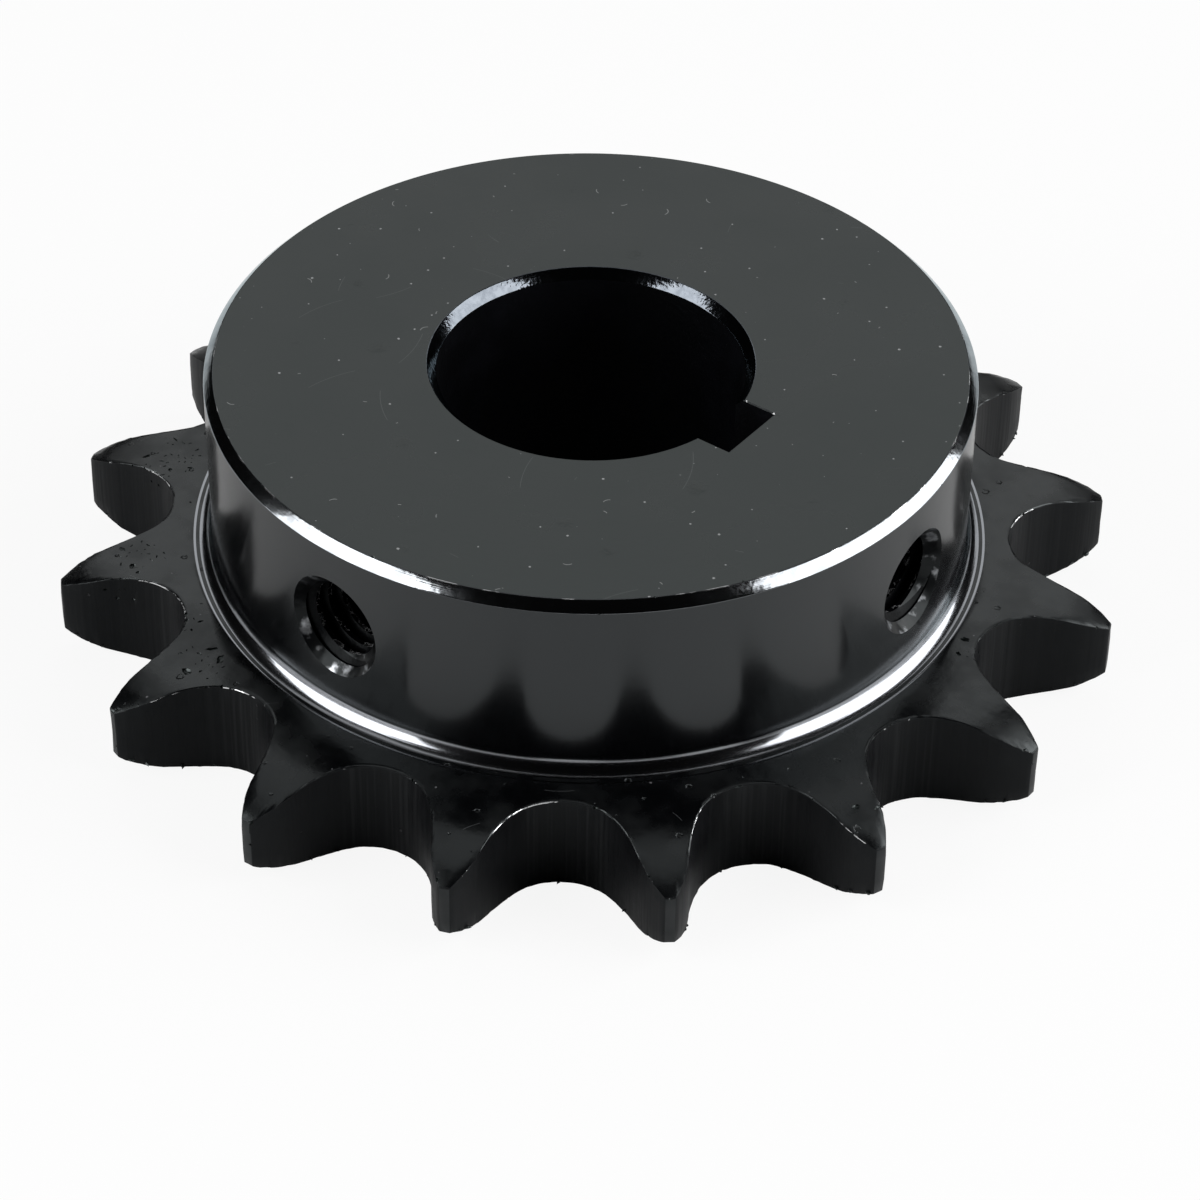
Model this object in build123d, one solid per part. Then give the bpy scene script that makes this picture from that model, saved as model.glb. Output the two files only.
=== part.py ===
"""Roller chain sprocket with a hub on one side, bored, keyed and drilled for two set screws.

One solid, turned and cut from a single steel blank. Millimetres, +Z along the bore from the
toothed plate to the hub's face. The origin is the centre of the plate's back face, and the
keyway and the middle of one tooth lie on +X.
"""
import math
import os

from build123d import *

# Chain that the teeth are cut for: pitch and roller of a half-inch-plus-eighth roller chain
pitch = 15.875
roller_diameter = 10.16

# Toothed plate
teeth = 16
tooth_width = 8.71
cutter_teeth = 14.07  # tooth count whose form the cutter has, for all counts from 12 to 17
cutter_sink = 0.05  # how much deeper than the pitch circle asks the cutter goes
side_bevel_share = 0.125  # how far each tooth side falls back at the tip, as a share of the pitch
side_bevel_reach = 0.5  # how far in from the tip the tooth side starts to fall, as a share of the pitch

# Hub
hub_diameter = 63.5
overall_length = 25.4
hub_chamfer = 0.79
hub_base_fillet = 1.6

# Bore and keyway
bore_diameter = 25.4
bore_chamfer = 0.79
keyway_width = 6.35
keyway_depth = 3.4  # from the crown of the bore to the keyway's floor

# Tapped set screw holes, in the middle of the hub's free length
screw_diameter = 7.94
screw_thread_pitch = 1.411
screw_countersink_diameter = 9.3
screw_countersink_angle = 90
screw_over_keyway_angle = 2.0
screw_beside_keyway_angle = -92.8

# How far a cutting tool runs past the surface that it cuts
overrun = 1.0

pitch_radius = pitch / 2 / math.sin(math.pi / teeth)
tip_radius = pitch * (0.6 + 1 / math.tan(math.pi / teeth)) / 2
hub_radius = hub_diameter / 2
bore_radius = bore_diameter / 2
screw_height = (tooth_width + overall_length) / 2
tap_drill_radius = (screw_diameter - screw_thread_pitch) / 2


def revolved(*edges):
    """Solid of revolution about Z from a closed outline drawn in the XZ plane."""
    return revolve(Plane.XZ * make_face(Curve() + list(edges)), Axis.Z, 360)


def arc_about(centre, start, end):
    """Arc of less than half a turn about a centre, from start to end."""
    radius = (start - centre).length
    middle = centre + ((start + end) / 2 - centre).normalized() * radius
    return ThreePointArc(start, middle, end)


def turned(point, centre, degrees):
    """A point turned about a centre, anticlockwise when the angle is positive."""
    return centre + (point - centre).rotate(Axis.Z, degrees)


def toothed_blank():
    """Plate before its teeth are cut, with both sides curving back towards the rim."""
    fall = side_bevel_share * pitch
    flat_radius = tip_radius - side_bevel_reach * pitch
    return revolved(
        Line((0, 0), (flat_radius, 0)),
        TangentArc((flat_radius, 0), (tip_radius, fall), tangent=(1, 0)),
        Line((tip_radius, fall), (tip_radius, tooth_width - fall)),
        TangentArc((flat_radius, tooth_width), (tip_radius, tooth_width - fall), tangent=(1, 0)),
        Line((flat_radius, tooth_width), (0, tooth_width)),
        Line((0, tooth_width), (0, 0)),
    )


def hub_blank():
    """Hub from the back face to its chamfered end, with the fillet at its foot."""
    foot_radius = hub_radius + hub_base_fillet
    foot_top = tooth_width + hub_base_fillet
    return revolved(
        Line((0, 0), (foot_radius, 0)),
        Line((foot_radius, 0), (foot_radius, tooth_width)),
        TangentArc((foot_radius, tooth_width), (hub_radius, foot_top), tangent=(-1, 0)),
        Line((hub_radius, foot_top), (hub_radius, overall_length - hub_chamfer)),
        Line((hub_radius, overall_length - hub_chamfer), (hub_radius - hub_chamfer, overall_length)),
        Line((hub_radius - hub_chamfer, overall_length), (0, overall_length)),
        Line((0, overall_length), (0, 0)),
    )


def gap_flank():
    """Outline of half a tooth gap on the +Y side of +X, from the root out past the tip circle.

    The seat is an arc about the roller, the working flank an arc about a point across the gap,
    then comes a short straight, and the topping is an arc about a point inside the next tooth.
    """
    inch = 25.4
    seat_radius = (1.005 * roller_diameter + 0.003 * inch) / 2
    seat_angle = 35 + 60 / cutter_teeth
    working_angle = 18 - 56 / cutter_teeth
    working_radius = 1.3025 * roller_diameter + 0.0015 * inch
    half_step = 180 / cutter_teeth

    roller = Vector(pitch_radius - cutter_sink, 0)
    across = roller + Vector(0.8 * roller_diameter, 0).rotate(Axis.Z, seat_angle - 90)
    inside_tooth = roller + Vector(1.4 * roller_diameter, 0).rotate(Axis.Z, 90 + half_step)

    root = roller - Vector(seat_radius, 0)
    seat_end = across + (roller - across).normalized() * working_radius
    working_end = turned(seat_end, across, -working_angle)
    outward = (working_end - across).normalized().rotate(Axis.Z, -90)
    straight_end = working_end + outward * (inside_tooth - working_end).dot(outward)
    topping_radius = (straight_end - inside_tooth).length

    past_tip = tip_radius + overrun
    reach = inside_tooth.length
    spread = math.acos((reach**2 + past_tip**2 - topping_radius**2) / (2 * reach * past_tip))
    flank_angle = math.atan2(inside_tooth.Y, inside_tooth.X) - spread
    flank_end = Vector(past_tip * math.cos(flank_angle), past_tip * math.sin(flank_angle))

    edges = [
        arc_about(roller, root, seat_end),
        arc_about(across, seat_end, working_end),
        Line(working_end, straight_end),
        arc_about(inside_tooth, straight_end, flank_end),
    ]
    return edges, flank_end


def gap_cutter():
    """Tool for one gap, through the plate and past both of its faces."""
    flank, flank_end = gap_flank()
    other_flank = [edge.mirror(Plane.XZ) for edge in flank]
    other_end = Vector(flank_end.X, -flank_end.Y)
    rim = ThreePointArc(flank_end, (flank_end.length, 0), other_end)
    outline = make_face(Curve() + [*flank, *other_flank, rim])
    return Pos(0, 0, -overrun) * extrude(outline, tooth_width + 2 * overrun, dir=(0, 0, 1))


def bore_cutter():
    """Bore with a chamfer at each end, and the keyway on its +X side."""
    low, high = -overrun, overall_length + overrun
    mouth_radius = bore_radius + bore_chamfer + overrun
    bore = revolved(
        Line((0, low), (mouth_radius, low)),
        Line((mouth_radius, low), (bore_radius, bore_chamfer)),
        Line((bore_radius, bore_chamfer), (bore_radius, overall_length - bore_chamfer)),
        Line((bore_radius, overall_length - bore_chamfer), (mouth_radius, high)),
        Line((mouth_radius, high), (0, high)),
        Line((0, high), (0, low)),
    )
    key_floor = bore_radius + keyway_depth
    keyway = Pos(key_floor / 2, 0, (low + high) / 2) * Box(key_floor, keyway_width, high - low)
    return bore + keyway


def screw_cutter(angle):
    """Tapping hole from the bore's axis out through the hub, with its countersink."""
    slope = math.tan(math.radians(screw_countersink_angle / 2))
    mouth_radius = screw_countersink_diameter / 2
    outer_end = hub_radius + overrun
    cone_start = hub_radius - (mouth_radius - tap_drill_radius) / slope
    hole = revolved(
        Line((0, 0), (tap_drill_radius, 0)),
        Line((tap_drill_radius, 0), (tap_drill_radius, cone_start)),
        Line((tap_drill_radius, cone_start), (mouth_radius + overrun * slope, outer_end)),
        Line((mouth_radius + overrun * slope, outer_end), (0, outer_end)),
        Line((0, outer_end), (0, 0)),
    )
    return Rot(0, 0, angle) * Pos(0, 0, screw_height) * Rot(0, 90, 0) * hole


def sprocket():
    """The whole sprocket in one piece."""
    body = toothed_blank() + hub_blank()
    gap = gap_cutter()
    for step in range(teeth):
        body -= Rot(0, 0, (step + 0.5) * 360 / teeth) * gap
    body -= bore_cutter()
    for angle in (screw_over_keyway_angle, screw_beside_keyway_angle):
        body -= screw_cutter(angle)
    return body


os.makedirs("parts", exist_ok=True)
export_step(sprocket(), "parts/sprocket.step")
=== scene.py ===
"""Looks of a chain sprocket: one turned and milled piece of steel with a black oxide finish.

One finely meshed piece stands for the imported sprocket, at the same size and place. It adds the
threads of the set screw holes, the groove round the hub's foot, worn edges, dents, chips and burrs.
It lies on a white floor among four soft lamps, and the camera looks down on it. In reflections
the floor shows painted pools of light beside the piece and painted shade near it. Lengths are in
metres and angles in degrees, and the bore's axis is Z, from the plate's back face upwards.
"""
import logging
import math
import random
from dataclasses import dataclass, field
from enum import Enum
from typing import Callable

import bpy
from mathutils import Matrix, Vector


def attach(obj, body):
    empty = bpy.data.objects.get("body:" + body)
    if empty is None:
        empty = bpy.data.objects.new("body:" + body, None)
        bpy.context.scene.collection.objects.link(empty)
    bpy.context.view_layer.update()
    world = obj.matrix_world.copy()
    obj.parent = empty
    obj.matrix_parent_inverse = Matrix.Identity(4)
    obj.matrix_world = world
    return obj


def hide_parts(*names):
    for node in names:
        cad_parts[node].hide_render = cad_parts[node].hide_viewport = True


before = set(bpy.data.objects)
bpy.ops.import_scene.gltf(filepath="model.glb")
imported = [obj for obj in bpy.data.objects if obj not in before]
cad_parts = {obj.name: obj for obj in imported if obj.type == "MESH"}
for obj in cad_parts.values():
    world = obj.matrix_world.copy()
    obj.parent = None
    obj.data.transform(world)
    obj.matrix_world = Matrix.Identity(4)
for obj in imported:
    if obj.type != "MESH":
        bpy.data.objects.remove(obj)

MM = 0.001
INCH = 25.4 * MM
NODE = "sprocket"
BODY = "root"
TOOTH_EDGES = "tooth_edges"
WELD = 0.002 * MM  # points nearer than this are one
SLACK = 0.03 * MM  # what a test of a place forgives
ANGLE_SLACK = 0.01  # the same for an angle
SQUARELY = 0.95  # cosine from which a face counts as facing one way
UP = Vector((0, 0, 1))
TOWARDS_FRONT = Vector((0, -1, 0))

log = logging.getLogger("sprocket_looks")


class Element(Enum):
    """What a selection is made of."""

    VERTEX = "VERT"
    EDGE = "EDGE"
    FACE = "FACE"


class Zone(Enum):
    """Finish of each part of the surface, in the order of the piece's material slots."""

    HUB_FACE = 0
    HUB_SIDE = 1
    CHAMFER = 2
    FILLET = 3
    BORE_CHAMFER = 4
    BORE = 5
    PLATE_SIDE = 6
    FLANK = 7
    TIP_LAND = 8
    TOOTH_EDGE = 9
    COUNTERSINK = 10
    THREAD = 11
    THREAD_CREST = 12
    CHIP = 13
    RIM = 14


# Helpers for placing, selecting, joining and cutting

def polar(radius: float, degrees: float, height: float = 0.0) -> Vector:
    """Point at a radius and an angle about the bore's axis.

    Args:
        radius: Distance from the axis.
        degrees: Angle from +X, anticlockwise from above.
        height: Height above the plate's back face.

    Returns:
        The point.
    """
    angle = math.radians(degrees)
    return Vector((radius * math.cos(angle), radius * math.sin(angle), height))


def deselect_all() -> None:
    """Leaves edit mode and deselects every object."""
    if bpy.context.object is not None and bpy.context.object.mode != "OBJECT":
        bpy.ops.object.mode_set(mode="OBJECT")
    bpy.ops.object.select_all(action="DESELECT")


def make_active(*pieces: bpy.types.Object) -> None:
    """Selects these pieces and nothing else, and makes the first one active.

    Args:
        pieces: The pieces.
    """
    deselect_all()
    for piece in pieces:
        piece.select_set(True)
    bpy.context.view_layer.objects.active = pieces[0]


def join(*pieces: bpy.types.Object) -> bpy.types.Object:
    """Makes several pieces one.

    Args:
        pieces: The pieces.

    Returns:
        The first of them, with the others in it.
    """
    make_active(*pieces)
    bpy.ops.object.join()
    return pieces[0]


def new_object(name: str, data: bpy.types.ID) -> bpy.types.Object:
    """Makes an object and puts it into the scene.

    Args:
        name: Its name.
        data: Its mesh, lamp or camera.

    Returns:
        The object.
    """
    made = bpy.data.objects.new(name, data)
    bpy.context.scene.collection.objects.link(made)
    return made


def pick(piece: bpy.types.Object, kind: Element, test: Callable[[object], bool]) -> None:
    """Selects what passes a test on a piece, and nothing else, and stays in edit mode.

    Args:
        piece: The piece.
        kind: Whether its vertices, edges or faces are tested.
        test: Says whether one of them is wanted.
    """
    make_active(piece)
    bpy.ops.object.mode_set(mode="EDIT")
    bpy.ops.mesh.select_mode(type=kind.value)
    bpy.ops.mesh.select_all(action="DESELECT")
    bpy.ops.object.mode_set(mode="OBJECT")
    mesh = piece.data
    elements = {
        Element.VERTEX: mesh.vertices, Element.EDGE: mesh.edges, Element.FACE: mesh.polygons,
    }[kind]
    elements.foreach_set("select", [bool(test(element)) for element in elements])
    bpy.ops.object.mode_set(mode="EDIT")


def apply_modifier(piece: bpy.types.Object, kind: str, **settings: object) -> None:
    """Adds a modifier to a piece, sets it and applies it.

    Args:
        piece: The piece.
        kind: Type of the modifier.
        settings: Its settings.
    """
    make_active(piece)
    modifier = piece.modifiers.new(kind.lower(), kind)
    for name, value in settings.items():
        setattr(modifier, name, value)
    bpy.ops.object.modifier_apply(modifier=modifier.name)


def cut(piece: bpy.types.Object, *cutters: bpy.types.Object) -> None:
    """Makes closed cutters one, cuts them out of a piece, and removes them.

    Args:
        piece: The piece.
        cutters: What is taken away from it.
    """
    first, *others = cutters
    for other in others:
        apply_modifier(first, "BOOLEAN", operation="UNION", object=other, solver="EXACT")
        bpy.data.objects.remove(other)
    apply_modifier(piece, "BOOLEAN", operation="DIFFERENCE", object=first, solver="EXACT")
    bpy.data.objects.remove(first)


def add(piece: bpy.types.Object, other: bpy.types.Object) -> None:
    """Makes another closed shape part of a piece, and removes it.

    Args:
        piece: The piece.
        other: What becomes part of it.
    """
    apply_modifier(piece, "BOOLEAN", operation="UNION", object=other, solver="EXACT")
    bpy.data.objects.remove(other)


def sharp_edges(mesh: bpy.types.Mesh, degrees: float) -> set[int]:
    """Finds the edges where two faces meet at more than an angle.

    Args:
        mesh: The mesh.
        degrees: The angle.

    Returns:
        Their numbers.
    """
    first: dict[int, Vector] = {}
    sharp = set()
    limit = math.cos(math.radians(degrees))
    for face in mesh.polygons:
        for loop in face.loop_indices:
            edge = mesh.loops[loop].edge_index
            if edge not in first:
                first[edge] = face.normal
            elif first[edge].dot(face.normal) < limit:
                sharp.add(edge)
    return sharp


def turn_on_lathe(section: bpy.types.Object, around: int) -> None:
    """Turns a section round the bore's axis, by a full turn.

    Args:
        section: Outline in the upright plane through +X.
        around: Number of steps of the turn.
    """
    apply_modifier(
        section, "SCREW", axis="Z", angle=2 * math.pi, screw_offset=0,
        steps=around, render_steps=around, use_merge_vertices=True, merge_threshold=WELD,
    )


def tidy_shell(piece: bpy.types.Object) -> None:
    """Welds a piece's doubled points and turns its faces outwards.

    Args:
        piece: The piece.
    """
    pick(piece, Element.FACE, lambda face: True)
    bpy.ops.mesh.remove_doubles(threshold=WELD)
    bpy.ops.mesh.select_all(action="SELECT")
    bpy.ops.mesh.normals_make_consistent(inside=False)
    bpy.ops.object.mode_set(mode="OBJECT")


class Pen:
    """Draws an outline as by hand: a point is extruded along lines and spun along arcs."""

    def __init__(
        self, name: str, start: Vector, axis: Vector, piece: bpy.types.Object | None = None
    ) -> None:
        """Puts the first point.

        Args:
            name: Name of the new piece.
            start: Where the outline starts.
            axis: What the arcs turn about, anticlockwise when seen against it.
            piece: Piece that the outline is added to, if it isn't a new one.
        """
        deselect_all()
        if piece is None:
            bpy.ops.mesh.primitive_plane_add(size=MM)
            self.piece = bpy.context.object
            self.piece.name = name
            bpy.ops.object.mode_set(mode="EDIT")
        else:
            self.piece = piece
            pick(piece, Element.VERTEX, lambda vertex: False)
            bpy.ops.mesh.primitive_plane_add(size=MM)
        bpy.ops.mesh.select_mode(type=Element.VERTEX.value)
        bpy.ops.mesh.merge(type="CENTER")
        bpy.ops.transform.translate(value=start)
        self.at = start.copy()
        self.axis = axis

    def line(self, end: Vector) -> None:
        """Extrudes the last point to a new one.

        Args:
            end: The new point.
        """
        bpy.ops.mesh.extrude_region_move(TRANSFORM_OT_translate={"value": end - self.at})
        self.at = end.copy()

    def arc(self, centre: Vector, degrees: float, steps: int) -> None:
        """Spins the last point about a centre.

        Args:
            centre: The centre.
            degrees: Angle of the arc, anticlockwise when positive.
            steps: Number of edges along it.
        """
        angle = math.radians(degrees)
        bpy.ops.mesh.spin(steps=steps, angle=-angle, center=centre, axis=self.axis, dupli=False)
        self.at = centre + Matrix.Rotation(angle, 3, self.axis) @ (self.at - centre)

    def rounded_corner(self, corner: Vector, onwards: Vector, radius: float, steps: int) -> None:
        """Draws a line to a corner and round it, and stops where the next line starts.

        Args:
            corner: Where the two lines would meet.
            onwards: A point further along the second line.
            radius: Radius of the rounding.
            steps: Number of edges round the corner.
        """
        before = (corner - self.at).normalized()
        after = (onwards - corner).normalized()
        turn = before.angle(after) * math.copysign(1, before.cross(after).dot(self.axis))
        self.line(corner - before * radius * math.tan(abs(turn) / 2))
        inwards = self.axis.cross(before) * math.copysign(1, turn)
        self.arc(self.at + inwards * radius, math.degrees(turn), steps)

    def close(self) -> bpy.types.Object:
        """Leaves edit mode.

        Returns:
            The piece that was drawn on.
        """
        bpy.ops.object.mode_set(mode="OBJECT")
        return self.piece


# Form of the piece

@dataclass
class ToothedPlate:
    """Plate of the sprocket outside the hub's foot, with its teeth."""

    teeth: int = 16
    pitch: float = 15.875 * MM
    roller: float = 10.16 * MM
    cutter_teeth: float = 14.07
    cutter_sink: float = 0.05 * MM
    width: float = 8.71 * MM
    bevel_share: float = 0.125
    bevel_reach: float = 0.5
    bevel_steps: int = 24
    form_start: float = 0.8
    form_overlap: float = 1.15
    headroom: float = 1 * MM
    edge_break: float = 0.11 * MM
    edge_steps: int = 2
    seat_steps: int = 12
    working_steps: int = 7
    topping_steps: int = 12
    half_land_steps: int = 1
    rows: int = 9
    flank_rows: int = 4
    wear_depth: float = 0.13 * MM
    wear_size: float = 0.7 * MM

    @property
    def pitch_radius(self) -> float:
        """Radius of the pitch circle."""
        return self.pitch / 2 / math.sin(math.pi / self.teeth)

    @property
    def tip_radius(self) -> float:
        """Radius of the circle round the tooth tips."""
        return self.pitch * (0.6 + 1 / math.tan(math.pi / self.teeth)) / 2

    @property
    def flat_radius(self) -> float:
        """Radius at which the plate's sides start to fall back."""
        return self.tip_radius - self.bevel_reach * self.pitch

    @property
    def half_tooth(self) -> float:
        """Half the angle from one tooth to the next, in degrees."""
        return 180 / self.teeth

    @property
    def columns(self) -> int:
        """Edges of the outline along one tooth."""
        curved = self.seat_steps + self.working_steps + self.topping_steps + self.half_land_steps
        return 2 * (curved + 1)

    def draw_tooth(self, height: float) -> bpy.types.Object:
        """Draws the outline of the tooth on +X, from the bottom of one gap to that of the next.

        The bare numbers are those of the standard tooth form for roller chain.

        Args:
            height: Height at which it is drawn.

        Returns:
            The outline, as a chain of edges.
        """
        seat_radius = (1.005 * self.roller + 0.003 * INCH) / 2
        seat_angle = 35 + 60 / self.cutter_teeth
        working_angle = 18 - 56 / self.cutter_teeth
        working_radius = 1.3025 * self.roller + 0.0015 * INCH
        half_step = 180 / self.cutter_teeth

        gap = -self.half_tooth
        roller = polar(self.pitch_radius - self.cutter_sink, gap, height)
        across = roller + polar(0.8 * self.roller, gap + seat_angle - 90)
        inside_tooth = roller + polar(1.4 * self.roller, gap + 90 + half_step)
        root = roller - polar(seat_radius, gap)
        working_end = across + polar(working_radius, gap + 90 + seat_angle - working_angle)
        outward = polar(1, gap + seat_angle - working_angle)
        straight_end = working_end + outward * (inside_tooth - working_end).dot(outward)
        topping_radius = (straight_end - inside_tooth).length

        reach = inside_tooth.xy.length
        spread = math.acos(
            (reach**2 + self.tip_radius**2 - topping_radius**2) / (2 * reach * self.tip_radius)
        )
        tip_angle = math.degrees(math.atan2(inside_tooth.y, inside_tooth.x) - spread)
        tip = polar(self.tip_radius, tip_angle, height)
        topping_turn = math.degrees((straight_end - inside_tooth).angle(tip - inside_tooth))

        def mirrored(point: Vector) -> Vector:
            """The same point on the tooth's other flank."""
            return Vector((point.x, -point.y, point.z))

        pen = Pen("tooth", root, UP)
        pen.arc(roller, seat_angle - 90, self.seat_steps)
        pen.arc(across, -working_angle, self.working_steps)
        pen.line(straight_end)
        pen.arc(inside_tooth, topping_turn, self.topping_steps)
        pen.arc(Vector((0, 0, height)), -2 * tip_angle, 2 * self.half_land_steps)
        pen.arc(mirrored(inside_tooth), topping_turn, self.topping_steps)
        pen.line(mirrored(working_end))
        pen.arc(mirrored(across), -working_angle, self.working_steps)
        pen.arc(mirrored(roller), seat_angle - 90, self.seat_steps)
        return pen.close()

    def side_form(self, around: int) -> bpy.types.Object:
        """Makes the turned form of both of the plate's sides, which curve back towards the rim.

        Args:
            around: Number of steps of the full turn.

        Returns:
            A helper surface that reaches past the tips.
        """
        fall = self.bevel_share * self.pitch
        reach = self.tip_radius - self.flat_radius
        radius = (reach**2 + fall**2) / (2 * fall)
        past_tip = self.form_overlap * math.degrees(math.asin(reach / radius))
        sides = []
        for height, side in ((self.width, -1), (0.0, 1)):
            start = Vector((self.form_start * self.flat_radius, 0, height))
            pen = Pen("side_form", start, TOWARDS_FRONT)
            pen.line(Vector((self.flat_radius, 0, height)))
            pen.arc(pen.at + UP * side * radius, side * past_tip, self.bevel_steps)
            sides.append(pen.close())
            turn_on_lathe(sides[-1], around)
        return join(*sides)

    def tooth_side(self, height: float, inner_radius: float) -> bpy.types.Object:
        """Fills one side of a tooth, from the hub's foot to the outline, level at first.

        Args:
            height: Height at which it is made.
            inner_radius: Where the plate meets the turned part of the piece.

        Returns:
            The side, as a sheet.
        """
        sheet = self.draw_tooth(height)
        pen = Pen("foot", polar(inner_radius, -self.half_tooth, height), UP, piece=sheet)
        pen.arc(Vector((0, 0, height)), 2 * self.half_tooth, self.columns)
        bpy.ops.mesh.select_mode(type=Element.EDGE.value)
        bpy.ops.mesh.select_all(action="SELECT")
        bpy.ops.mesh.bridge_edge_loops(number_cuts=self.rows - 1, interpolation="LINEAR")
        bpy.ops.object.mode_set(mode="OBJECT")
        return sheet

    def build(self, inner_radius: float) -> bpy.types.Object:
        """Makes the plate as a ring that is open towards the hub.

        Args:
            inner_radius: Where the plate meets the turned part of the piece.

        Returns:
            The plate.
        """
        around = self.teeth * self.columns
        form = self.side_form(around)
        sides = []
        for height, from_above in ((self.width + self.headroom, True), (-self.headroom, False)):
            sides.append(self.tooth_side(height, inner_radius))
            apply_modifier(
                sides[-1], "SHRINKWRAP", target=form, wrap_method="PROJECT", use_project_z=True,
                use_negative_direction=from_above, use_positive_direction=not from_above,
            )
        bpy.data.objects.remove(form)
        plate = join(*sides)
        plate.name = "toothed_plate"

        uses = [0] * len(plate.data.edges)
        for loop in plate.data.loops:
            uses[loop.edge_index] += 1
        points = plate.data.vertices

        def on_outline(edge: bpy.types.MeshEdge) -> bool:
            """Tells the open edges on the outline of the tooth from those at its foot and sides.

            Args:
                edge: An edge of the plate.

            Returns:
                Whether it is one of them.
            """
            ends = [points[index].co for index in edge.vertices]
            angles = [abs(math.degrees(math.atan2(end.y, end.x))) for end in ends]
            on_foot = all(end.xy.length < inner_radius + WELD for end in ends)
            on_cut = all(abs(angle - self.half_tooth) < ANGLE_SLACK for angle in angles)
            return uses[edge.index] == 1 and not on_foot and not on_cut

        pick(plate, Element.EDGE, on_outline)
        bpy.ops.mesh.bridge_edge_loops(number_cuts=self.flank_rows - 1, interpolation="LINEAR")
        bpy.ops.mesh.select_all(action="SELECT")
        last = self.teeth - 1
        bpy.ops.mesh.spin(
            steps=last, angle=2 * math.pi * last / self.teeth, center=(0, 0, 0), axis=UP, dupli=True
        )
        tidy_shell(plate)
        return plate


@dataclass
class Hub:
    """Turned part of the piece: the hub, its foot, its bore and the middle of the back face."""

    diameter: float = 63.5 * MM
    length: float = 25.4 * MM
    chamfer: float = 0.79 * MM
    base_fillet: float = 1.6 * MM
    bore_diameter: float = 25.4 * MM
    bore_chamfer: float = 0.79 * MM
    groove_width: float = 0.2 * MM
    groove_depth: float = 0.035 * MM
    edge_break: float = 0.2 * MM
    edge_steps: int = 3
    fillet_steps: int = 14

    @property
    def foot_radius(self) -> float:
        """Radius at which the fillet at the hub's foot meets the plate."""
        return self.diameter / 2 + self.base_fillet

    def build(self, plate_width: float, around: int) -> bpy.types.Object:
        """Draws the section of the hub and spins it.

        Args:
            plate_width: Height of the plate's upper side.
            around: Number of steps of the full turn.

        Returns:
            The hub as a shell that is open towards the teeth.
        """
        radius = self.diameter / 2
        bore = self.bore_diameter / 2
        mouth = bore + self.bore_chamfer
        foot = Vector((self.foot_radius, 0, plate_width))
        corners = [
            Vector((radius, 0, self.length - self.chamfer)),
            Vector((radius - self.chamfer, 0, self.length)),
            Vector((mouth, 0, self.length)),
            Vector((bore, 0, self.length - self.bore_chamfer)),
            Vector((bore, 0, self.bore_chamfer)),
            Vector((mouth, 0, 0)),
            Vector((self.foot_radius, 0, 0)),
        ]
        pen = Pen("turned_hub", foot, TOWARDS_FRONT)
        inwards = Vector((-self.groove_width / 2, 0, 0))
        pen.line(foot + inwards - UP * self.groove_depth)
        pen.line(foot + 2 * inwards)
        pen.arc(pen.at + UP * (self.base_fillet - self.groove_width), -90, self.fillet_steps)
        for corner, onwards in zip(corners, corners[1:]):
            pen.rounded_corner(corner, onwards, self.edge_break, self.edge_steps)
        pen.line(corners[-1])
        hub = pen.close()
        turn_on_lathe(hub, around)
        return hub


@dataclass
class Keyway:
    """Square slot along the bore, on +X."""

    width: float = 6.35 * MM
    floor_radius: float = 16.1 * MM
    edge_break: float = 0.1 * MM
    overrun: float = 0.5 * MM

    def cutter(self, length: float) -> bpy.types.Object:
        """Makes the tool for the slot, whose ends widen and so break the slot's edges.

        Args:
            length: Length of the bore.

        Returns:
            The closed cutter.
        """
        deselect_all()
        bpy.ops.mesh.primitive_cube_add(size=1)
        slot = bpy.context.object
        slot.name = "keyway_cutter"
        bpy.ops.object.mode_set(mode="EDIT")
        bpy.ops.mesh.select_all(action="SELECT")
        bpy.ops.transform.resize(value=(self.floor_radius, self.width, length - 2 * self.edge_break))
        bpy.ops.transform.translate(value=(self.floor_radius / 2, 0, length / 2))
        flare = self.edge_break + self.overrun
        wider = Vector((1 + flare / self.floor_radius, 1 + 2 * flare / self.width, 1))
        for side in (1, -1):
            pick(slot, Element.FACE, lambda face: face.normal.z * side > SQUARELY)
            bpy.ops.mesh.extrude_region_move(TRANSFORM_OT_translate={"value": UP * side * flare})
            bpy.ops.transform.resize(value=wider, center_override=(0, 0, 0))
        bpy.ops.object.mode_set(mode="OBJECT")
        return slot


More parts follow.
